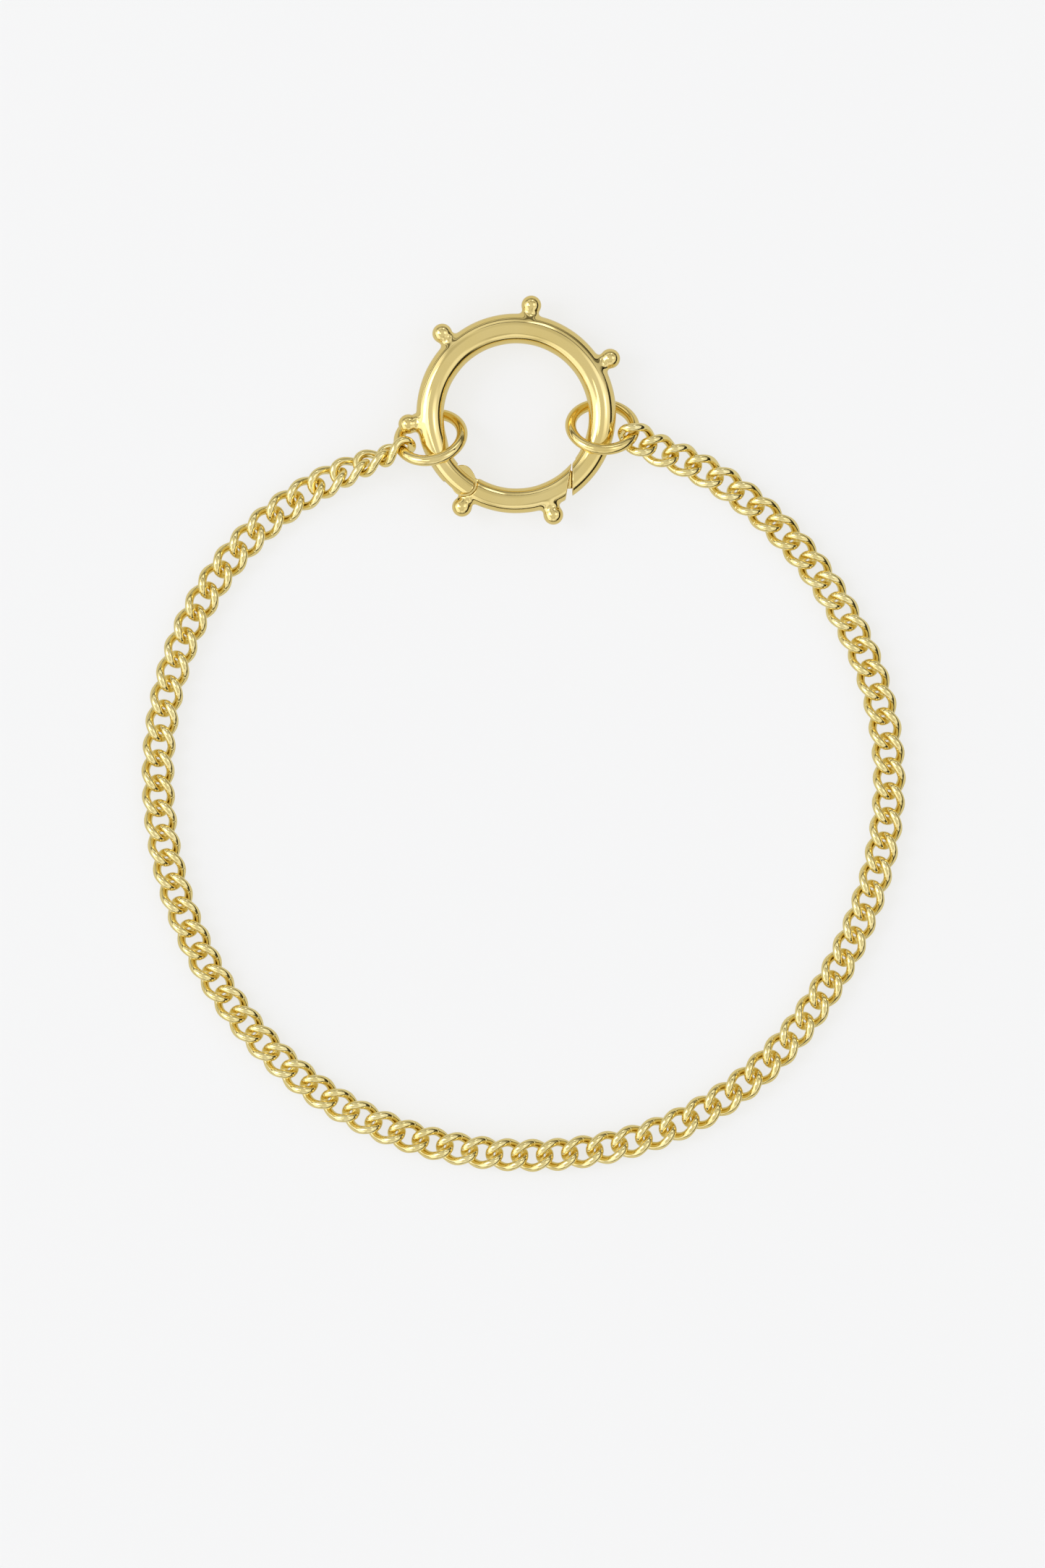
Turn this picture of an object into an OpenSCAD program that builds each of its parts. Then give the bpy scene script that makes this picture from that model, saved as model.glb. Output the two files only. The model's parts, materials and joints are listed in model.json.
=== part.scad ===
// Curb chain bracelet, closed in a loop, with a hinged ring clasp and two jump rings.
// It lies flat: +Z is up, +Y points from the chain's lowest link to the clasp.
// The origin is under the middle of the whole object, on the surface that it lies on.

/* [Chain] */
// Diameter of the link wire
wire_d = 0.66; // [0.5:0.01:0.7]
// Length of one link, outside
link_l = 3.388; // [3.3:0.01:3.5]
// Width of one link, outside
link_w = 2.6; // [2.4:0.01:2.8]
// Twist of the link from its middle to each end, degrees
link_twist = 46; // [40:1:50]
// Squareness of the link's oval (2 is an ellipse)
link_power = 2.3; // [2:0.05:2.6]

/* [Loop] */
// Mean radius of the chain's centre line
loop_r = 28.58; // [28.2:0.02:28.9]
// Distance of the loop's centre from the origin, along Y
loop_y = -4.20; // [-4.4:0.05:-4]
// Links on each side of the bottom link
side_links = 41; // [41]
// Angle from the bottom to the last link on the right, degrees
right_end = 162; // [161.8:0.05:162.2]
// Angle from the bottom to the last link on the left, degrees
left_end = 159.3; // [159.1:0.05:159.5]

/* [Jump rings] */
// Mean diameter of a jump ring
ring_d = 5; // [4.9:0.02:5.1]
// Diameter of the jump ring wire
ring_wire = 0.86; // [0.7:0.01:0.9]
// Lean of the jump rings away from flat, degrees
ring_lean = 43; // [42:0.5:46]

/* [Clasp] */
// Mean radius of the clasp ring
clasp_r = 6.76; // [6.6:0.02:6.9]
// Diameter of the clasp's tube
tube_d = 2.12; // [2:0.02:2.2]
// Place of the clasp's centre across the loop
clasp_x = -0.56; // [-0.6:0.02:-0.5]
// Place of the clasp's centre along the loop
clasp_y = 25.09; // [25:0.02:25.2]
// Diameter of a bobble
bobble_d = 1.47; // [1.2:0.01:1.5]
// Distance of the bobbles from the clasp's centre
bobble_at = 8.475; // [8.4:0.01:8.55]

/* [Hidden] */
// The bobbles' angles, counter-clockwise from +X: four on the frame, two on the gate
frame_bobbles = [30, 82, 133, 186];
gate_bobble = 290;
hinge_bobble = 240;
neck_r = 0.32;
neck_foot_r = 0.55;
neck_foot_h = 0.35;

// Hinge: its pin stands across the tube, a little outside the tube's centre line
hinge_angle = 233.4;
pin_at = 6.85;
pin_r = 0.30;
pin_h = 1.7;
pin_play = 0.03;
lug_r = 1.0;
lug_reach = 16;
seat_r = 1.1;
slot_r = 1.55;
slot_h = 0.84;
knuckle_h = 0.70;
gate_swing = 35;
// The knuckle's round lobes: [radius, distance from the pin, direction]
lobes = [[1, 0, 0], [0.95, 0.2, 104], [0.9, 0.4, 104], [0.85, 0.6, 104]];
web_from = 3;
web_turn = 17;
web_w = 1.7;
spring_r = 1.47;
spring_t = 0.06;
spring_h = 0.5;
spring_from = 128;
spring_turn = 48;
spring_foot = 152;

// Latch: flat end faces, and a tongue on the gate that rises into the frame's socket
gate_face = 3.97;
frame_face = 4.38;
tongue_l = 0.75;
tongue_w = 0.5;
tongue_y = [-5.93, -4.5];
socket_l = 0.25;
socket_w = 0.7;
socket_y = [-6.05, -3.5];
latch_reach = 300;

// Each jump ring: [angle on the clasp, outward play of its centre, yaw of its lean]
ring_right = [-9.2, 0.07, -5];
ring_left = [196, 0.20, 14];

// Each end link's centre from its jump ring's centre, its heading, slope and roll
end_right = [[2.76, -0.95, 0.405], 150, 11.3, -7];
end_left = [[-2.74, -1.05, 0.045], 208, -14.5, 85.5];
// Rolls of the links that follow the end links, degrees
rolls_right = [-5, -3];
rolls_left = [62, 42, 22, 6];
// The links nearest the clasp climb to the jump rings, over this many links
climb_links = 5;
climb_right = 1.43;
climb_left = 1.04;
// Slight unevenness of the loop as it lies: [waves round the loop, height, phase]
sway = [[1, 0.20, -10], [2, 0.13, 133], [3, 0.30, 14], [4, 0.13, -155], [5, 0.13, 99], [6, 0.09, -141]];

// Each link is swept with this many rings of this many corners, a little outside the wire
sweep_rings = 18;
sweep_sides = 6;
sweep_r = wire_d / 2 * 1.03;

link_a = (link_l - wire_d) / 2;
link_b = (link_w - wire_d) / 2;
link_z = 0.83;
ring_r = ring_d / 2;
clasp_z = ring_r * sin(ring_lean) + ring_wire / 2;
step = (right_end + left_end) / (2 * side_links);
mid = (right_end - left_end) / 2;
segments = (side_links + 1) / 2;
eps = 0.01;

function two(n) = str(n < 10 ? "0" : "", n);
function side_name(side) = side > 0 ? "right" : "left";
function segment_name(side, s) = str("chain_", side_name(side), "_", two(s));

// ---- The loop's path. k counts links from the bottom one, and halves are the joints between ----
function bearing(k) = mid + k * step;
function radius(b, i = 0) =
    i == len(sway) ? loop_r : sway[i][1] * cos(sway[i][0] * b - sway[i][2]) + radius(b, i + 1);
function climb(k) = (k > 0 ? climb_right : climb_left)
    * pow(max(0, 1 - (side_links - 0.5 - abs(k)) / climb_links), 2);
function path(k) = [
    radius(bearing(k)) * sin(bearing(k)),
    loop_y - radius(bearing(k)) * cos(bearing(k)),
    link_z + climb(k)
];

// ---- Frames: a matrix whose x runs along the link and whose y points into the loop ----
function unit(v) = v / norm(v);
function flat_y(x) = unit(cross([0, 0, 1], x));
function frame_of(x, roll, at) =
    let (y = flat_y(x), z = cross(x, y))
    let (y2 = y * cos(roll) + z * sin(roll), z2 = z * cos(roll) - y * sin(roll))
    [
        [x[0], y2[0], z2[0], at[0]],
        [x[1], y2[1], z2[1], at[1]],
        [x[2], y2[2], z2[2], at[2]],
        [0, 0, 0, 1]
    ];
function heading(az, el) = [cos(az) * cos(el), sin(az) * cos(el), sin(el)];
function roll_of(k) =
    let (from_end = side_links - abs(k) - 1, rolls = k > 0 ? rolls_right : rolls_left)
    from_end < len(rolls) ? rolls[from_end] : 0;
function end_frame(ring, e) = frame_of(heading(e[1], e[2]), e[3], ring_centre(ring) + e[0]);
function link_frame(k) =
    k == side_links ? end_frame(ring_right, end_right)
    : k == -side_links ? end_frame(ring_left, end_left)
    : frame_of(unit(path(k + 0.5) - path(k - 0.5)), roll_of(k), (path(k + 0.5) + path(k - 0.5)) / 2);
function ring_centre(ring) = [
    clasp_x + (clasp_r + ring[1]) * cos(ring[0]),
    clasp_y + (clasp_r + ring[1]) * sin(ring[0]),
    clasp_z
];

// ---- One curb link: an oval of wire, twisted about its length so that it lies flat ----
function power(v) = sign(v) * pow(abs(v), 2 / link_power);
function twist_at(u) = link_twist * (1.5 * u - 0.5 * u * u * u);
function wire_at(t) =
    let (u = power(cos(t)), y = link_b * power(sin(t)), w = twist_at(u))
    [link_a * u, y * cos(w), -y * sin(w)];
function wire_up(t) = let (w = twist_at(power(cos(t)))) [0, sin(w), cos(w)];
function wire_ring(t) =
    let (
        x = unit(wire_at(t + 1) - wire_at(t - 1)),
        side = unit(cross(x, wire_up(t))),
        up = cross(side, x)
    )
    [for (j = [0 : sweep_sides - 1]) let (q = (j + 0.5) * 360 / sweep_sides)
        wire_at(t) + sweep_r * (cos(q) * side + sin(q) * up)];
link_points = [for (i = [0 : sweep_rings - 1]) each wire_ring(i * 360 / sweep_rings)];
link_faces = [
    for (i = [0 : sweep_rings - 1], j = [0 : sweep_sides - 1])
        let (
            i2 = (i + 1) % sweep_rings,
            j2 = (j + 1) % sweep_sides,
            a = i * sweep_sides + j,
            b = i * sweep_sides + j2,
            c = i2 * sweep_sides + j2,
            d = i2 * sweep_sides + j
        )
        each [[a, b, c], [a, c, d]]
];

module link(k) {
    multmatrix(link_frame(k)) polyhedron(points = link_points, faces = link_faces);
}

// The first segment is the end link alone, and the others are pairs, down to the bottom
module segment(side, s) {
    first = s == 1 ? side_links : side_links - 2 * s + 3;
    last = s == 1 ? side_links : first - 1;
    color("gold") for (k = [last : first]) link(side * k);
}

module chain_bottom() {
    color("gold") link(0);
}

// ---- Jump rings ----
module jump_ring(ring) {
    color("goldenrod")
        translate(ring_centre(ring))
            rotate([0, 0, ring[2]])
                rotate([-ring_lean, 0, 0])
                    rotate_extrude($fn = 96) translate([ring_r, 0]) circle(d = ring_wire, $fn = 32);
}

module jump_ring_left() {
    jump_ring(ring_left);
}

module jump_ring_right() {
    jump_ring(ring_right);
}

// ---- Clasp ----
module in_clasp() {
    translate([clasp_x, clasp_y, clasp_z]) children();
}

module at_pin() {
    rotate([0, 0, hinge_angle]) translate([pin_at, 0, 0]) rotate([0, 0, -hinge_angle]) children();
}

module tube(from, to) {
    rotate([0, 0, from])
        rotate_extrude(angle = to - from, $fn = 128) translate([clasp_r, 0]) circle(d = tube_d, $fn = 48);
}

module disc(r, h) {
    cylinder(r = r, h = h, center = true, $fn = 64);
}

module bobble(angle) {
    rotate([0, 0, angle]) {
        translate([bobble_at, 0, 0]) sphere(d = bobble_d, $fn = 48);
        translate([clasp_r + tube_d / 2 - 0.2, 0, 0]) rotate([0, 90, 0])
            cylinder(r1 = neck_foot_r, r2 = neck_r, h = neck_foot_h, $fn = 32);
        translate([clasp_r, 0, 0]) rotate([0, 90, 0])
            cylinder(r = neck_r, h = bobble_at - clasp_r, $fn = 32);
    }
}

module clasp_frame() {
    color("gold") in_clasp() difference() {
        union() {
            tube(latch_reach - 360, hinge_angle + lug_reach);
            for (a = frame_bobbles) bobble(a);
        }
        // beyond the pin only the round lug is left, slotted for the knuckle
        at_pin() rotate([0, 0, hinge_angle]) difference() {
            translate([-tube_d, 0, -tube_d]) cube([2 * tube_d, 2 * tube_d, 2 * tube_d]);
            disc(lug_r, 2 * tube_d + 1);
        }
        at_pin() disc(slot_r, slot_h);
        at_pin() disc(pin_r, tube_d + 1);
        translate([-1, -clasp_r - tube_d, -tube_d]) cube([1 + frame_face, clasp_r + tube_d, 2 * tube_d]);
        translate([frame_face - eps, socket_y[0], -socket_w / 2])
            cube([socket_l, socket_y[1] - socket_y[0], socket_w]);
    }
}

// The gate's tube beyond the seat, its inner corner cut back so that it can swing inwards
module gate_tube() {
    difference() {
        tube(hinge_angle, latch_reach + 12);
        at_pin() disc(seat_r, tube_d + 1);
        at_pin() rotate([0, 0, hinge_angle - 180 - gate_swing - 2])
            translate([-2, 0, -tube_d]) cube([4, 3, 2 * tube_d]);
        translate([gate_face, -clasp_r - tube_d, -tube_d]) cube([4, clasp_r + tube_d, 2 * tube_d]);
    }
}

module knuckle() {
    for (l = lobes) at_pin() rotate([0, 0, l[2]]) translate([l[1], 0, 0]) disc(l[0], knuckle_h);
    // web from the knuckle into the gate's tube
    rotate([0, 0, hinge_angle + web_from]) rotate_extrude(angle = web_turn, $fn = 128)
        translate([clasp_r, 0]) square([web_w, knuckle_h], center = true);
}

module clasp_gate() {
    color("khaki") in_clasp() difference() {
        union() {
            gate_tube();
            knuckle();
            bobble(gate_bobble);
            rotate([0, 0, hinge_bobble]) translate([bobble_at, 0, 0]) sphere(d = bobble_d, $fn = 48);
            rotate([0, 0, hinge_bobble]) translate([clasp_r, 0, 0]) rotate([0, 90, 0])
                cylinder(r = neck_r, h = bobble_at - clasp_r, $fn = 32);
            translate([gate_face - 0.3, tongue_y[0], -tongue_w / 2])
                cube([tongue_l, tongue_y[1] - tongue_y[0], tongue_w]);
        }
        at_pin() disc(pin_r + pin_play, tube_d + 1);
    }
}

module hinge_pin() {
    color("silver") in_clasp() at_pin() disc(pin_r, pin_h);
}

module gate_spring() {
    color("silver") in_clasp() at_pin() {
        rotate([0, 0, spring_from]) rotate_extrude(angle = spring_turn, $fn = 96)
            translate([spring_r, -spring_h / 2]) square([spring_t, spring_h]);
        rotate([0, 0, spring_foot]) translate([spring_r + spring_t / 2, -spring_t / 2, -spring_h / 2])
            cube([slot_r - spring_r - spring_t / 2 - eps, spring_t, spring_h]);
    }
}

clasp_frame();
clasp_gate();
hinge_pin();
gate_spring();
jump_ring_left();
jump_ring_right();
for (s = [1 : segments], side = [-1, 1]) segment(side, s);
chain_bottom();
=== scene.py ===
"""Looks of the curb chain loop: polished gold links, two jump rings and a bobbled ring clasp.

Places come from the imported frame. Sizes below are in millimetres, and MM turns them into metres.
"""

import json
import math

import bpy
import numpy as np
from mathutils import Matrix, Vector


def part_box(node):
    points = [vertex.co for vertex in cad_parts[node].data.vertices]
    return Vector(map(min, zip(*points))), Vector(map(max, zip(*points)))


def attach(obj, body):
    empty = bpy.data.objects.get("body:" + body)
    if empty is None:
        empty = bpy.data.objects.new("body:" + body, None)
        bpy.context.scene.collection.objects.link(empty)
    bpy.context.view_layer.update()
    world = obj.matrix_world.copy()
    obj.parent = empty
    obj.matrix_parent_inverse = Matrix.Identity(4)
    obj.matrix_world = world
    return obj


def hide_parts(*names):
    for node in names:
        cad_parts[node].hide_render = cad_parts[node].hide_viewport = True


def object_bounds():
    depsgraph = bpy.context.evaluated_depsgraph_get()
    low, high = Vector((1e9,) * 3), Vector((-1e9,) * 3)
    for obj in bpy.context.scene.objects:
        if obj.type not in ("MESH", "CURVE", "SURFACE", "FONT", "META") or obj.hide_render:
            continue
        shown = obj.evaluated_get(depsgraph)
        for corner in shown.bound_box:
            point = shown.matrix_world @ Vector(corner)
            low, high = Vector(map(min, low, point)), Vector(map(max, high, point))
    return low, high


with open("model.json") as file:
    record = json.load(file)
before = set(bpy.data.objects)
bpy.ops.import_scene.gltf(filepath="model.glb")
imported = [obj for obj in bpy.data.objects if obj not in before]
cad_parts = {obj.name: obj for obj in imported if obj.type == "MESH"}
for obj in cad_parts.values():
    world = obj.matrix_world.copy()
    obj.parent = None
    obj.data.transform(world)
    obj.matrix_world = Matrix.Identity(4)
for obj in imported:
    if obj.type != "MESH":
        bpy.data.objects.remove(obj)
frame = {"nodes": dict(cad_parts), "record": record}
cad_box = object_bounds()

MM = 0.001

# ---- Sizes: chain and jump rings ----
# A link's wire, its oval centre line (half length, half width and the oval's power, 2 being an
# ellipse) and its twist from end to middle.
WIRE_R = 0.33
LINK_HALF_LENGTH = 1.364
LINK_HALF_WIDTH = 0.97
LINK_POWER = 2.3
LINK_TWIST = math.radians(46)
RING_WIRE_R = 0.43
# How far round each closed wire its seam is, as a share of the way, and the seam's depth and width.
LINK_SEAM_AT = 0.25
LINK_SEAM = (0.014, 0.035)
RING_SEAM_AT = 0.5
RING_SEAM = (0.05, 0.04)
# Sections along each wire, sides of a section, and points on the link's line before it is spaced.
LINK_RINGS = 84
LINK_SIDES = 24
RING_RINGS = 200
RING_SIDES = 40
LINK_LINE_POINTS = 4001

# ---- Sizes: clasp, about its own centre, with +X to the right and +Y away from the chain ----
# The cast tube is thicker at the top of the ring than at the gate: a middle value and a swing.
CLASP_R = (6.73, -0.14)
TUBE_R = (1.07, 0.10)
# Towards the hinge the frame's tube is drawn down from its inner side.
DRAWN = 0.105
DRAWN_FROM = math.radians(198)
DRAWN_TO = math.radians(214)
DRAWN_END = math.radians(270)
# The casting's unevenness: its height, and waves of (turns round the ring, round the tube, phase).
RIPPLE = 0.016
RIPPLE_WAVES = ((9, 2, 0.6), (17, -1, 2.1), (5, 3, 0.0))
# Bobbles: where they stand round the ring in degrees, their necks, and the fillets.
FRAME_BALLS = (30, 82, 133, 186)
GATE_BALL = 290
HINGE_BALL = 240
BALL_R = 0.775
BALL_AT = 8.475
BALL_FILLET = 0.2
NECK_FROM = 6.8
NECK_R = 0.57
NECK_FILLET = 0.45
HINGE_NECK_R = 0.6
HINGE_NECK_FILLET = 0.3
# Hinge: the pin, the frame's slotted round lug, and the gate's hollow seat and middle leaf.
PIN_ANGLE = 233.4
PIN_AT = 6.85
PIN_R = 0.30
PIN_HALF = 0.85
PIN_PLAY = 0.03
LUG_R = 0.88
LUG_EDGE = 0.16
LUG_PLAY = 0.02
SEAT_R = 1.1
SLOT_R = 1.55
SLOT_HALF = 0.42
LEAF_HALF = 0.35
LEAF_R = 1.0
EAR_R = 0.85
EAR_AT = 0.6
EAR_ANGLE = 104
EAR_FILLET = 0.3
WEB_HALF = 0.85
WEB_FROM = 0.3
WEB_TO = 2.4
GATE_SWING = 35
SWING_ROOM = 2
SWING_EDGE = 0.1
# Latch: the gate's slanted end, the frame's flat face, and the tongue in its socket.
GATE_FACE = 4.1
GATE_SLANT = math.radians(9)
LATCH_Y = -5.3
FRAME_FACE = 4.38
TONGUE = ((3.6, -5.93, -0.25), (4.42, -4.5, 0.25))
TONGUE_EDGE = 0.18
SOCKET = ((4.3, -6.05, -0.35), (4.62, -3.4, 0.35))
# How far right the lug's cut reaches, and from where the latch's cut starts.
LUG_CUT_TO = 2
LATCH_CUT_FROM = 1
# Rounding of ordinary edges, of fine ones and of the pin's hole, and the mesh's cell.
EDGE = 0.07
FINE_EDGE = 0.03
HOLE_EDGE = 0.02
CELL = 0.062


# ---- Distance fields of the clasp, in millimetres: negative inside ----
def blend(a, b, k):
    """Union of two fields, with a fillet of about k in the corner between them."""
    h = np.clip(0.5 + 0.5 * (b - a) / k, 0, 1)
    return b + (a - b) * h - k * h * (1 - h)


def overlap(a, b, k=EDGE):
    """What is inside both fields, with its edges rounded by about k."""
    return -blend(-a, -b, k)


def without(a, b, k=EDGE):
    """The first field with the second cut away, with its edges rounded by about k."""
    return overlap(a, -b, k)


def polar(radius, degrees):
    return radius * math.cos(math.radians(degrees)), radius * math.sin(math.radians(degrees))


def from_pin(p):
    """Each point's place from the hinge pin, across the clasp."""
    x, y = polar(PIN_AT, PIN_ANGLE)
    return p[:, 0] - x, p[:, 1] - y


def past_pin(p, degrees=PIN_ANGLE + 90):
    """How far each point lies past the pin in that direction."""
    x, y = from_pin(p)
    normal = polar(1, degrees)
    return x * normal[0] + y * normal[1]


def tube(p, drawn=0):
    """The clasp's round tube, with the faint unevenness of a hand-polished casting."""
    across = np.hypot(p[:, 0], p[:, 1])
    turn = np.arctan2(p[:, 1], p[:, 0])
    round_turn = turn % (2 * math.pi)
    share = np.clip((round_turn - DRAWN_FROM) / (DRAWN_TO - DRAWN_FROM), 0, 1)
    drawn = np.where(round_turn < DRAWN_END, drawn * share * share * (3 - 2 * share), 0)
    from_line = across - (CLASP_R[0] + CLASP_R[1] * np.sin(turn) + drawn)
    radius = TUBE_R[0] + TUBE_R[1] * np.sin(turn)
    from_line = from_line * radius / (radius - drawn)
    around = np.arctan2(p[:, 2], from_line)
    wave = sum(np.sin(a * turn + b * around + phase) for a, b, phase in RIPPLE_WAVES)
    return np.hypot(from_line, p[:, 2]) - radius + RIPPLE * wave / (2 * len(RIPPLE_WAVES))


def ball_on_neck(p, degrees, neck_r=NECK_R):
    """A bobble on its short neck, standing out from the ring at an angle."""
    x, y = polar(1, degrees)
    along = p[:, 0] * x + p[:, 1] * y
    aside = np.hypot(p[:, 1] * x - p[:, 0] * y, p[:, 2])
    ball = np.hypot(along - BALL_AT, aside) - BALL_R
    neck = np.hypot(along - np.clip(along, NECK_FROM, BALL_AT), aside) - neck_r
    return blend(ball, neck, BALL_FILLET)


def disc(p, radius, half):
    """A round plate about the hinge pin, so far to each side of the clasp's middle plane."""
    return np.maximum(np.hypot(*from_pin(p)) - radius, np.abs(p[:, 2]) - half)


def block(p, corners):
    """A box between two corners."""
    low, high = np.array(corners[0]), np.array(corners[1])
    return np.max(np.abs(p - (low + high) / 2) - (high - low) / 2, axis=1)


def tongue(p):
    """The gate's tongue: a bar across the gap, its four long edges rounded."""
    low, high = np.array(TONGUE[0]) + TONGUE_EDGE, np.array(TONGUE[1]) - TONGUE_EDGE
    out = np.maximum(np.abs(p - (low + high) / 2) - (high - low) / 2, 0)
    return np.linalg.norm(out, axis=1) - TONGUE_EDGE


def clasp_frame(p):
    """Three quarters of the ring, from the slotted hinge lug round to the flat face at the latch."""
    body = tube(p, DRAWN)
    for degrees in FRAME_BALLS:
        body = blend(body, ball_on_neck(p, degrees), NECK_FILLET)
    x, y = from_pin(p)
    lower_half = np.maximum(p[:, 1], p[:, 0] - LUG_CUT_TO)
    gate_room = np.maximum(np.maximum(-past_pin(p), LUG_R - np.hypot(x, y)), lower_half)
    body = without(body, gate_room, LUG_EDGE)
    latch_room = np.maximum(np.maximum(p[:, 0] - FRAME_FACE, LATCH_CUT_FROM - p[:, 0]), p[:, 1])
    body = without(body, latch_room)
    body = without(body, disc(p, SLOT_R, SLOT_HALF), FINE_EDGE)
    body = without(body, disc(p, PIN_R, PIN_HALF), HOLE_EDGE)
    return without(body, block(p, SOCKET), FINE_EDGE)


def leaf(p):
    """The gate's middle leaf: a disc about the pin, a low ear, and a web into the gate's tube."""
    x, y = from_pin(p)
    ear_x, ear_y = polar(EAR_AT, EAR_ANGLE)
    ear = np.hypot(x - ear_x, y - ear_y) - EAR_R
    outline = blend(np.hypot(x, y) - LEAF_R, ear, EAR_FILLET)
    web = np.maximum(np.abs(np.hypot(p[:, 0], p[:, 1]) - PIN_AT) - WEB_HALF, np.hypot(x, y) - WEB_TO)
    web = np.maximum(web, WEB_FROM - past_pin(p))
    return overlap(np.minimum(outline, web), np.abs(p[:, 2]) - LEAF_HALF)


def clasp_gate(p):
    """The swinging quarter of the ring, with a hollow seat for the lug and a tongue at the latch."""
    seat = np.hypot(*from_pin(p)) - SEAT_R
    body = np.maximum(np.maximum(tube(p), -past_pin(p)), p[:, 1])
    body = without(body, seat)
    body = without(body, -past_pin(p, PIN_ANGLE - 90 - GATE_SWING - SWING_ROOM), SWING_EDGE)
    slant = (p[:, 0] - GATE_FACE) * math.cos(GATE_SLANT) - (p[:, 1] - LATCH_Y) * math.sin(GATE_SLANT)
    body = overlap(body, slant)
    body = blend(body, ball_on_neck(p, GATE_BALL), NECK_FILLET)
    body = blend(body, ball_on_neck(p, HINGE_BALL, HINGE_NECK_R), HINGE_NECK_FILLET)
    lug_room = np.maximum(seat + FINE_EDGE, LEAF_HALF + LUG_PLAY - np.abs(p[:, 2]))
    body = without(body, lug_room, FINE_EDGE)
    body = blend(body, leaf(p), FINE_EDGE)
    body = without(body, disc(p, PIN_R + PIN_PLAY, 2 * PIN_HALF), HOLE_EDGE)
    return blend(body, tongue(p), FINE_EDGE)


# ---- Meshes ----
def edge_crossings(field, axis):
    """Where the surface crosses the grid's edges along one axis: a mask, and the share of the step."""
    a = np.moveaxis(field, axis, 0)
    here, there = a[:-1], a[1:]
    crossed = (here < 0) != (there < 0)
    share = np.where(crossed, here / np.where(crossed, here - there, 1), 0)
    return np.moveaxis(crossed, 0, axis), np.moveaxis(share, 0, axis)


def shifted(array, axis, offset):
    """The array without its last (offset 0) or first (offset 1) layer along one axis."""
    keep = [slice(None)] * 3
    keep[axis] = slice(offset, array.shape[axis] - 1 + offset)
    return array[tuple(keep)]


def surface_net(distance, low, high, cell):
    """Vertices in the grid cells that the surface crosses, and a quad round each crossed grid edge."""
    axes = [np.arange(a, b + cell, cell) for a, b in zip(low, high)]
    grid = np.stack(np.meshgrid(*axes, indexing="ij"), axis=-1)
    shape = grid.shape[:3]
    field = distance(grid.reshape(-1, 3)).reshape(shape)
    total = np.zeros([n - 1 for n in shape] + [3])
    hits = np.zeros([n - 1 for n in shape])
    quads = []
    for axis in range(3):
        others = [a for a in range(3) if a != axis]
        crossed, share = edge_crossings(field, axis)
        start = grid[tuple(slice(0, n - (1 if a == axis else 0)) for a, n in enumerate(shape))]
        at = start.copy()
        at[..., axis] += share * cell
        at *= crossed[..., None]
        for i in (0, 1):
            for j in (0, 1):
                total += shifted(shifted(at, others[0], i), others[1], j)
                hits += shifted(shifted(crossed, others[0], i), others[1], j)
        here = np.argwhere(crossed)
        inner = np.all([(here[:, o] > 0) & (here[:, o] < shape[o] - 1) for o in others], axis=0)
        here = here[inner]
        corners = []
        for i, j in ((1, 1), (0, 1), (0, 0), (1, 0)):
            corner = here.copy()
            corner[:, others[0]] -= i
            corner[:, others[1]] -= j
            corners.append(corner)
        outward = field[tuple(here.T)] < 0
        if axis == 1:
            outward = ~outward
        quads.append((np.stack(corners, axis=1), outward))
    number = np.full(hits.shape, -1)
    active = hits > 0
    number[active] = np.arange(active.sum())
    points = total[active] / hits[active][:, None]
    faces = []
    for corners, outward in quads:
        face = number[corners[..., 0], corners[..., 1], corners[..., 2]]
        faces.append(np.where(outward[:, None], face, face[:, ::-1]))
    return points, np.concatenate(faces)


def slope(distance, p, step=0.004):
    """The field's gradient at each point."""
    columns = []
    for axis in range(3):
        nudge = np.zeros(3)
        nudge[axis] = step
        columns.append((distance(p + nudge) - distance(p - nudge)) / (2 * step))
    return np.stack(columns, axis=1)


def settle(distance, p, rounds):
    """Moves points onto the surface, along the field's gradient."""
    for _ in range(rounds):
        g = slope(distance, p)
        length = np.maximum((g * g).sum(axis=1), 0.25)
        p = p - g * np.clip(distance(p) / length, -0.05, 0.05)[:, None]
    return p


def evened(p, faces):
    """Each point drawn to the middle of its neighbours along the faces' edges."""
    ends = np.concatenate([faces[:, [0, 1]], faces[:, [1, 2]], faces[:, [2, 3]], faces[:, [3, 0]]])
    ends = np.concatenate([ends, ends[:, ::-1]])
    count = np.bincount(ends[:, 0], minlength=len(p))
    mean = [np.bincount(ends[:, 0], p[ends[:, 1], axis], len(p)) / count for axis in range(3)]
    return np.stack(mean, axis=1)


def new_piece(name, points, faces, normals=None):
    """A smooth-shaded object in the scene, with the field's own normals if it has any."""
    mesh = bpy.data.meshes.new(name)
    mesh.from_pydata(points.tolist(), [], faces.tolist())
    mesh.polygons.foreach_set("use_smooth", [True] * len(mesh.polygons))
    if normals is not None:
        mesh.normals_split_custom_set_from_vertices(normals.tolist())
    piece = bpy.data.objects.new(name, mesh)
    bpy.context.scene.collection.objects.link(piece)
    return piece


def field_piece(name, distance, node, centre):
    """A piece whose surface is where the field is zero, within the box of its CAD node."""
    low, high = ((np.array(corner) - centre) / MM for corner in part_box(node))
    points, faces = surface_net(distance, low - 3 * CELL, high + 3 * CELL, CELL)
    points = settle(distance, points, 3)
    for _ in range(3):
        points = settle(distance, evened(points, faces), 3)
    normals = slope(distance, points)
    normals /= np.linalg.norm(normals, axis=1)[:, None]
    return new_piece(name, points * MM + centre, faces, normals)


def unit(v):
    return v / np.linalg.norm(v, axis=-1, keepdims=True)


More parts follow.
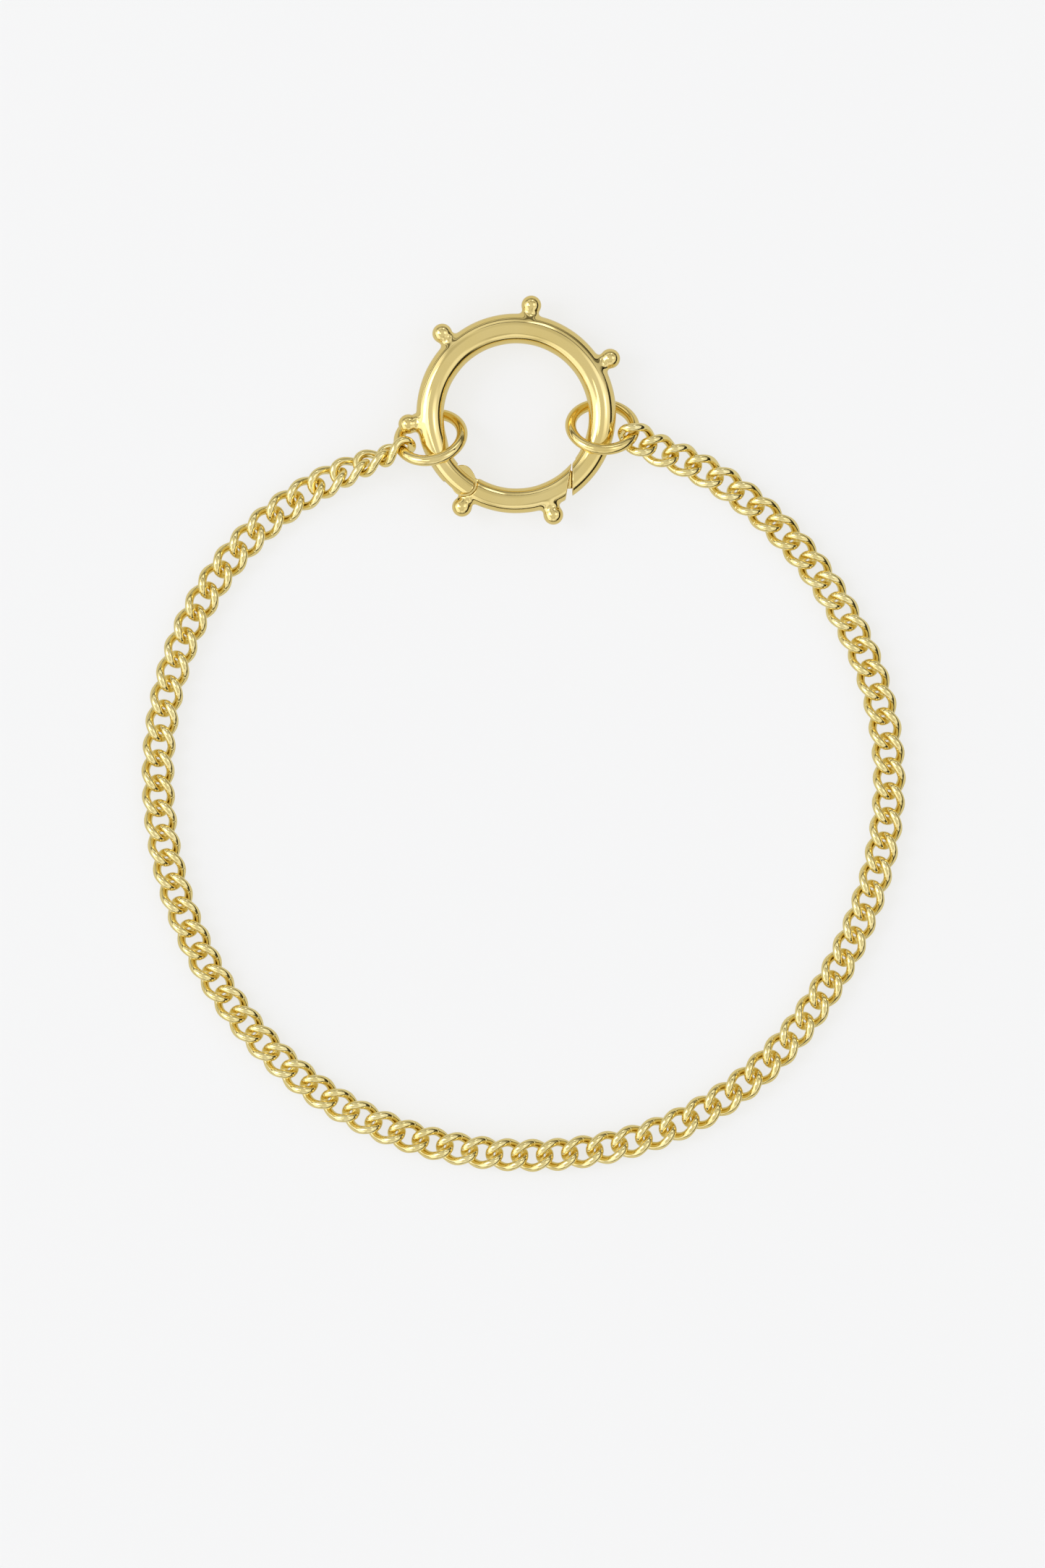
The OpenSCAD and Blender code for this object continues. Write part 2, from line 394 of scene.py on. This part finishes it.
def swept_ring(line, sideways, radii, sides):
    """A round wire along a closed line. The sideways vectors start each section's corners."""
    ahead = unit(np.roll(line, -1, axis=0) - np.roll(line, 1, axis=0))
    up = unit(np.cross(sideways, ahead))
    across = np.cross(ahead, up)
    turn = np.arange(sides) * 2 * math.pi / sides
    ring = across[:, None] * np.cos(turn)[None, :, None] + up[:, None] * np.sin(turn)[None, :, None]
    points = (line[:, None] + radii[:, None, None] * ring).reshape(-1, 3)
    i, j = np.meshgrid(np.arange(len(line)), np.arange(sides), indexing="ij")
    i2, j2 = (i + 1) % len(line), (j + 1) % sides
    faces = np.stack([i * sides + j, i * sides + j2, i2 * sides + j2, i2 * sides + j], axis=-1)
    return points, faces.reshape(-1, 4)


def seam_stations(count, seam_at, width, length):
    """Shares of the way round a wire ring: even ones, and close ones across its seam."""
    close = seam_at + np.linspace(-2, 2, 13) * width / length
    even = np.arange(count) / count
    even = even[np.abs(even - seam_at) > 2.5 * width / length]
    return np.sort(np.concatenate([even, close]))


def seamed_radii(radius, shares, seam_at, seam, length):
    """The wire's radius at each section, with a shallow groove round it at the seam."""
    depth, width = seam
    return radius - depth * np.exp(-(((shares - seam_at) * length / width) ** 2))


def link_shape():
    """One curb link about its own middle, in millimetres: an oval, twisted so that it lies flat."""
    t = np.linspace(0, 2 * math.pi, LINK_LINE_POINTS)
    power = lambda v: np.sign(v) * np.abs(v) ** (2 / LINK_POWER)
    u, v = power(np.cos(t)), LINK_HALF_WIDTH * power(np.sin(t))
    twist = LINK_TWIST * (1.5 * u - 0.5 * u**3)
    fine = np.stack([LINK_HALF_LENGTH * u, v * np.cos(twist), -v * np.sin(twist)], axis=1)
    walked = np.concatenate([[0], np.cumsum(np.linalg.norm(np.diff(fine, axis=0), axis=1))])
    length = walked[-1]
    shares = seam_stations(LINK_RINGS, LINK_SEAM_AT, LINK_SEAM[1], length)
    line = np.stack([np.interp(shares * length, walked, fine[:, axis]) for axis in range(3)], axis=1)
    turned = np.interp(shares * length, walked, twist)
    up = np.stack([0 * turned, np.sin(turned), np.cos(turned)], axis=1)
    ahead = unit(np.roll(line, -1, axis=0) - np.roll(line, 1, axis=0))
    radii = seamed_radii(WIRE_R, shares, LINK_SEAM_AT, LINK_SEAM, length)
    return swept_ring(line, np.cross(ahead, up), radii, LINK_SIDES)


def rings_of(node):
    """The corner points of each separate wire ring in a CAD node."""
    mesh = frame["nodes"][node].data
    corners = np.array([v.co for v in mesh.vertices])
    points, same = np.unique(np.round(corners, 8), axis=0, return_inverse=True)
    same = same.reshape(-1)
    group = np.arange(len(points))
    pairs = np.array([[same[a], same[b]] for a, b in (e.vertices for e in mesh.edges)])
    while True:
        lowest = group.copy()
        np.minimum.at(lowest, pairs[:, 0], group[pairs[:, 1]])
        np.minimum.at(lowest, pairs[:, 1], group[pairs[:, 0]])
        if (lowest == group).all():
            break
        group = lowest
    return [points[group == g] for g in np.unique(group)]


def main_axes(points):
    """The middle of a ring's points, and its long, wide and flat directions."""
    middle = points.mean(axis=0)
    _, axes = np.linalg.eigh(np.cov((points - middle).T))
    long, wide = axes[:, 2], axes[:, 1]
    return middle, long, wide, np.cross(long, wide)


def chain_piece(name, node, shape):
    """The links of one CAD node, each laid where its own link lies, seam to the loop's inside."""
    points, faces = shape
    all_points, all_faces = [], []
    for ring in rings_of(node):
        middle, long, wide, flat = main_axes(ring)
        if wide @ middle > 0:
            long, wide = -long, -wide
        placed = points[:, :1] * long + points[:, 1:2] * wide + points[:, 2:] * flat
        all_faces.append(faces + len(points) * len(all_points))
        all_points.append(placed * MM + middle)
    return new_piece(name, np.concatenate(all_points), np.concatenate(all_faces))


def jump_ring_piece(name, node):
    """A round jump ring, its butt seam turned to the side that lies lowest, under the clasp."""
    points = np.array([v.co for v in frame["nodes"][node].data.vertices])
    middle = (points.min(axis=0) + points.max(axis=0)) / 2
    axis = main_axes(points)[-1]
    axis = axis if axis[2] > 0 else -axis
    down = unit(axis * axis[2] - np.array([0, 0, 1.0]))
    aside = np.cross(axis, down)
    radius = (np.max((points - middle) @ aside) - RING_WIRE_R * MM) / MM
    length = 2 * math.pi * radius
    shares = seam_stations(RING_RINGS, RING_SEAM_AT, RING_SEAM[1], length)
    turn = (shares - RING_SEAM_AT) * 2 * math.pi
    outward = np.cos(turn)[:, None] * down + np.sin(turn)[:, None] * aside
    radii = seamed_radii(RING_WIRE_R, shares, RING_SEAM_AT, RING_SEAM, length)
    ring, faces = swept_ring(outward * radius, outward, radii, RING_SIDES)
    return new_piece(name, ring * MM + middle, faces)


# ---- Materials ----
class Nodes:
    """A short way to write a node tree."""

    def __init__(self, tree):
        self.tree = tree
        tree.nodes.clear()

    def add(self, kind, inputs=(), **settings):
        """A new node: its settings, and each input linked to a socket or set to a value."""
        node = self.tree.nodes.new(kind)
        for key, value in settings.items():
            setattr(node, key, value)
        for key, value in dict(inputs).items():
            if isinstance(value, bpy.types.NodeSocket):
                self.tree.links.new(value, node.inputs[key])
            else:
                node.inputs[key].default_value = value
        return node

    def ramp(self, factor, stops):
        """A colour ramp through (position, colour) stops."""
        node = self.add("ShaderNodeValToRGB", {"Fac": factor})
        elements = node.color_ramp.elements
        while len(elements) < len(stops):
            elements.new(0.5)
        for element, (position, colour) in zip(elements, stops):
            element.position = position
            element.color = (*colour, 1)
        return node.outputs["Color"]


# Each slot's metal: its palest and deepest hue, least and most roughness, the cast ripple's
# frequency (per metre) and height (mm), and the height of the polishing marks (mm).
METALS = {
    "clasp_gold": ((0.88, 0.71, 0.30), (0.85, 0.665, 0.24), (0.05, 0.11), (330.0, 0.012), 0.00012),
    "chain_gold": ((0.92, 0.78, 0.37), (0.88, 0.72, 0.29), (0.05, 0.12), (900.0, 0.005), 0.0004),
    "ring_gold": ((0.88, 0.71, 0.30), (0.85, 0.665, 0.24), (0.05, 0.12), (450.0, 0.009), 0.00015),
    "spring_steel": ((0.66, 0.66, 0.67), (0.56, 0.56, 0.58), (0.18, 0.32), (600.0, 0.002), 0.0004),
}
# Frequencies (per metre) of the drift of hue and of the polishing marks, and the marks' direction.
HUE_SCALE = 260.0
MARKS_SCALE = 9000.0
MARKS_STRETCH = (1.0, 0.22, 1.0)
MARKS_TURN = (0.3, 0.5, 0.7)
# The floor: half its side (metres), its grey, and its glow to the camera and in mirrored views.
FLOOR_HALF = 1.5
FLOOR_ALBEDO = 0.22
FLOOR_SEEN = (0.715, 0.715, 0.70)
FLOOR_MIRRORED = (0.53, 0.515, 0.44)


def grey(value):
    return (value, value, value)


def polished_metal(name, pale, deep, gloss, ripple, scratches):
    """Plated metal: slight drifts of hue, fine polishing marks in the gloss, and a faint cast ripple."""
    material = bpy.data.materials.new(name)
    material.use_nodes = True
    nodes = Nodes(material.node_tree)
    place = nodes.add("ShaderNodeTexCoord").outputs["Object"]
    drift = nodes.add("ShaderNodeTexNoise", {"Vector": place, "Scale": HUE_SCALE, "Detail": 3.0})
    colour = nodes.ramp(drift.outputs["Fac"], [(0.3, deep), (0.7, pale)])
    slant = {"Vector": place, "Scale": MARKS_STRETCH, "Rotation": MARKS_TURN}
    slanted = nodes.add("ShaderNodeMapping", slant).outputs["Vector"]
    marks = nodes.add(
        "ShaderNodeTexNoise", {"Vector": slanted, "Scale": MARKS_SCALE, "Detail": 5.0, "Roughness": 0.65}
    )
    rough = nodes.ramp(marks.outputs["Fac"], [(0.3, grey(gloss[0])), (0.72, grey(gloss[1]))])
    waves = nodes.add("ShaderNodeTexNoise", {"Vector": place, "Scale": ripple[0], "Detail": 1.5})
    wavy = nodes.add(
        "ShaderNodeBump", {"Height": waves.outputs["Fac"], "Strength": 1.0, "Distance": ripple[1] * MM}
    )
    scratched = {"Height": marks.outputs["Fac"], "Strength": 1.0, "Distance": scratches * MM}
    fine = nodes.add("ShaderNodeBump", {**scratched, "Normal": wavy.outputs["Normal"]})
    shader = nodes.add(
        "ShaderNodeBsdfPrincipled",
        {"Base Color": colour, "Roughness": rough, "Metallic": 1.0, "Normal": fine.outputs["Normal"]},
    )
    nodes.add("ShaderNodeOutputMaterial", {"Surface": shader.outputs["BSDF"]})
    return material


def floor_material():
    """A plain pale sheet, brighter straight to the camera than in what the metal mirrors of it."""
    material = bpy.data.materials.new("pale_floor")
    material.use_nodes = True
    nodes = Nodes(material.node_tree)
    seen = nodes.add("ShaderNodeLightPath").outputs["Is Camera Ray"]
    glow = nodes.ramp(seen, [(0.0, FLOOR_MIRRORED), (1.0, FLOOR_SEEN)])
    shader = nodes.add(
        "ShaderNodeBsdfPrincipled",
        {
            "Base Color": (*grey(FLOOR_ALBEDO), 1),
            "Roughness": 0.9,
            "Specular IOR Level": 0.0,
            "Emission Color": glow,
            "Emission Strength": 1.0,
        },
    )
    nodes.add("ShaderNodeOutputMaterial", {"Surface": shader.outputs["BSDF"]})
    return material


# ---- Build ----
bodies = frame["record"]["behaviour"]["bodies"]
body_of = {node: body for body, members in bodies.items() for node in members}
slot_of = {part["node"]: part["material_slot"] for part in frame["record"]["subparts"]}
mounts = {mount["name"]: mount for mount in frame["record"]["mounts"]}
clasp_centre = np.array(mounts["clasp_ring"]["pos_m"])

looks = {name: polished_metal(name, *settings) for name, settings in METALS.items()}


def dress(piece, node):
    """Puts a piece in the place of a CAD node: the material of the node's slot, and the node's body."""
    piece.data.materials.append(looks[slot_of[node]])
    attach(piece, body_of[node])
    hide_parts(node)


dress(field_piece("ring_clasp_frame", clasp_frame, "clasp_frame", clasp_centre), "clasp_frame")
dress(field_piece("ring_clasp_gate", clasp_gate, "clasp_gate", clasp_centre), "clasp_gate")
for side in ("left", "right"):
    dress(jump_ring_piece(f"{side}_jump_ring", f"jump_ring_{side}"), f"jump_ring_{side}")
one_link = link_shape()
for node in sorted(body_of):
    if node.startswith("chain_"):
        dress(chain_piece(node.replace("chain_", "links_"), node, one_link), node)
for node in ("hinge_pin", "gate_spring"):
    frame["nodes"][node].data.materials.clear()
    frame["nodes"][node].data.materials.append(looks[slot_of[node]])

# ---- Studio ----
# The camera looks straight down: the middle and height of its view, its height and its sensor.
VIEW_CENTRE = (-0.07 * MM, -3.9 * MM)
VIEW_HEIGHT = 122.85 * MM
CAMERA_AT = 700 * MM
SENSOR = 36.0
# The softbox: azimuth and elevation, size and distance (metres), and power.
SOFTBOX_AT = (175, 52)
SOFTBOX_SIZE = (0.10, 0.4)
SOFTBOX_DISTANCE = 0.5
SOFTBOX_POWER = 0.20
# The light tent. Its cloth sags by TENT_SAG, in folds of TENT_SAG_SCALE. Walls: brightness by
# height. Panels: azimuth, elevation, reach, softness, gain (negative ones darken). Seams: lowest
# and highest height, azimuth, reach, softness, depth. Tint: hue by half the brightness, so dark
# seams are warm and bright panels cool. Angles are in degrees.
TENT_SAG = 0.13
TENT_SAG_SCALE = 1.7
TENT_WALLS = ((0.0, 0.56), (0.3, 0.62), (0.6, 0.70), (0.85, 0.76), (1.0, 0.76))
TENT_PANELS = (
    (172, 24, 18, 18, 0.80),
    (15, 52, 8, 16, 0.50),
    (5, 22, 8, 12, 0.35),
    (225, 20, 14, 18, 0.65),
    (270, 28, 8, 14, 0.35),
    (112, 27, 10, 16, 0.22),
    (320, 30, 12, 20, 0.30),
    (80, 55, 6, 16, -0.14),
    (290, 50, 4, 10, -0.16),
    (140, 45, 4, 18, -0.15),
    (165, 50, 3, 5, 2.0),
    (200, 30, 3, 5, 1.6),
    (15, 56, 2, 5, 1.4),
    (75, 35, 2, 5, 1.2),
    (290, 62, 2, 5, 1.2),
)
TENT_SEAMS = (
    (0.61, 0.68, 72, 32, 16, 0.97),
    (-0.12, 0.20, 325, 75, 30, 0.97),
    (-0.05, 0.09, 120, 110, 20, 0.72),
    (-0.05, 0.42, 342, 32, 16, 0.94),
    (0.16, 0.34, 100, 60, 20, 0.75),
    (0.36, 0.40, 255, 20, 20, 0.55),
    (0.70, 0.74, 255, 26, 16, 0.45),
    (0.30, 0.33, 355, 18, 16, 0.7),
    (0.46, 0.50, 155, 18, 16, 0.5),
)
TENT_TINT = (
    (0.0, (1.0, 0.93, 0.72)),
    (0.3, (1.0, 0.99, 0.96)),
    (0.5, (1.0, 1.02, 1.12)),
    (1.0, (1.0, 1.03, 1.32)),
)


def floor():
    """The sheet that the object lies on."""
    mesh = bpy.data.meshes.new("floor")
    corners = [(x * FLOOR_HALF, y * FLOOR_HALF, 0) for x, y in ((-1, -1), (1, -1), (1, 1), (-1, 1))]
    mesh.from_pydata(corners, [], [(0, 1, 2, 3)])
    mesh.materials.append(floor_material())
    obj = bpy.data.objects.new("floor", mesh)
    obj.location.z = cad_box[0].z
    bpy.context.scene.collection.objects.link(obj)


def pointing(azimuth, elevation):
    """The unit vector towards an azimuth and elevation, in degrees."""
    return (*polar(math.cos(math.radians(elevation)), azimuth), math.sin(math.radians(elevation)))


def softbox():
    """A rectangular studio light that faces the object from its left."""
    light = bpy.data.lights.new("left_softbox", "AREA")
    light.shape = "RECTANGLE"
    light.size, light.size_y = SOFTBOX_SIZE
    light.energy = SOFTBOX_POWER
    lamp = bpy.data.objects.new("left_softbox", light)
    lamp.location = SOFTBOX_DISTANCE * Vector(pointing(*SOFTBOX_AT))
    lamp.rotation_euler = lamp.location.to_track_quat("Z", "Y").to_euler()
    bpy.context.scene.collection.objects.link(lamp)


def studio_world():
    """A light tent as the metal sees it: even walls, broad bright panels and dark seams."""
    world = bpy.data.worlds.new("studio")
    world.use_nodes = True
    bpy.context.scene.world = world
    nodes = Nodes(world.node_tree)

    def vector_math(operation, a, b=(0, 0, 0)):
        return nodes.add("ShaderNodeVectorMath", {0: a, 1: b}, operation=operation)

    def scaled(vector, scale):
        return nodes.add("ShaderNodeVectorMath", {0: vector, "Scale": scale}, operation="SCALE").outputs[0]

    def maths(operation, a, b=0.0):
        return nodes.add("ShaderNodeMath", {0: a, 1: b}, operation=operation).outputs[0]

    def fade(value, outer, inner):
        """From 0 at the outer value to 1 at the inner one, smoothly."""
        ends = {"Value": value, "From Min": outer, "From Max": inner}
        return nodes.add("ShaderNodeMapRange", ends, interpolation_type="SMOOTHSTEP").outputs["Result"]

    def near(vectors, towards, reach, softness):
        """How near the vectors point to a direction: 1 within reach, fading out over the softness."""
        nearness = vector_math("DOT_PRODUCT", vectors, towards).outputs["Value"]
        return fade(nearness, math.cos(math.radians(reach + softness)), math.cos(math.radians(reach)))

    straight = nodes.add("ShaderNodeTexCoord").outputs["Generated"]
    folds = {"Vector": straight, "Scale": TENT_SAG_SCALE, "Detail": 1.0}
    sag = nodes.add("ShaderNodeTexNoise", folds).outputs["Color"]
    sag = scaled(vector_math("SUBTRACT", sag, (0.5, 0.5, 0.5)).outputs[0], TENT_SAG)
    direction = vector_math("ADD", straight, sag).outputs[0]
    height = nodes.add("ShaderNodeSeparateXYZ", {"Vector": direction}).outputs["Z"]
    level = vector_math("NORMALIZE", vector_math("MULTIPLY", direction, (1, 1, 0)).outputs[0]).outputs[0]
    walls = nodes.ramp(height, [(at, grey(value)) for at, value in TENT_WALLS])
    walls = nodes.add("ShaderNodeSeparateColor", {"Color": walls}).outputs["Red"]
    for azimuth, elevation, reach, softness, gain in TENT_PANELS:
        glow = near(direction, pointing(azimuth, elevation), reach, softness)
        walls = maths("ADD", walls, maths("MULTIPLY", glow, gain))
    for low, high, azimuth, reach, softness, depth in TENT_SEAMS:
        from_middle = maths("ABSOLUTE", maths("SUBTRACT", height, (low + high) / 2))
        band = fade(from_middle, (high - low) / 2, (high - low) / 4)
        dark = maths("MULTIPLY", band, near(level, pointing(azimuth, 0), reach, softness))
        walls = maths("MULTIPLY", walls, maths("SUBTRACT", 1.0, maths("MULTIPLY", dark, depth)))
    tint = nodes.ramp(maths("MULTIPLY", walls, 0.5), TENT_TINT)
    background = nodes.add("ShaderNodeBackground", {"Color": scaled(tint, walls), "Strength": 1.0})
    nodes.add("ShaderNodeOutputWorld", {"Surface": background.outputs["Background"]})


def camera():
    """A long lens straight above the object, framed by the view's height."""
    data = bpy.data.cameras.new("camera")
    data.sensor_fit = "VERTICAL"
    data.sensor_height = SENSOR
    data.lens = SENSOR * CAMERA_AT / VIEW_HEIGHT
    data.clip_start = 0.01
    data.clip_end = 10
    obj = bpy.data.objects.new("camera", data)
    obj.location = (*VIEW_CENTRE, CAMERA_AT)
    bpy.context.scene.collection.objects.link(obj)
    bpy.context.scene.camera = obj


floor()
softbox()
studio_world()
camera()
bpy.context.scene.view_settings.view_transform = "Standard"
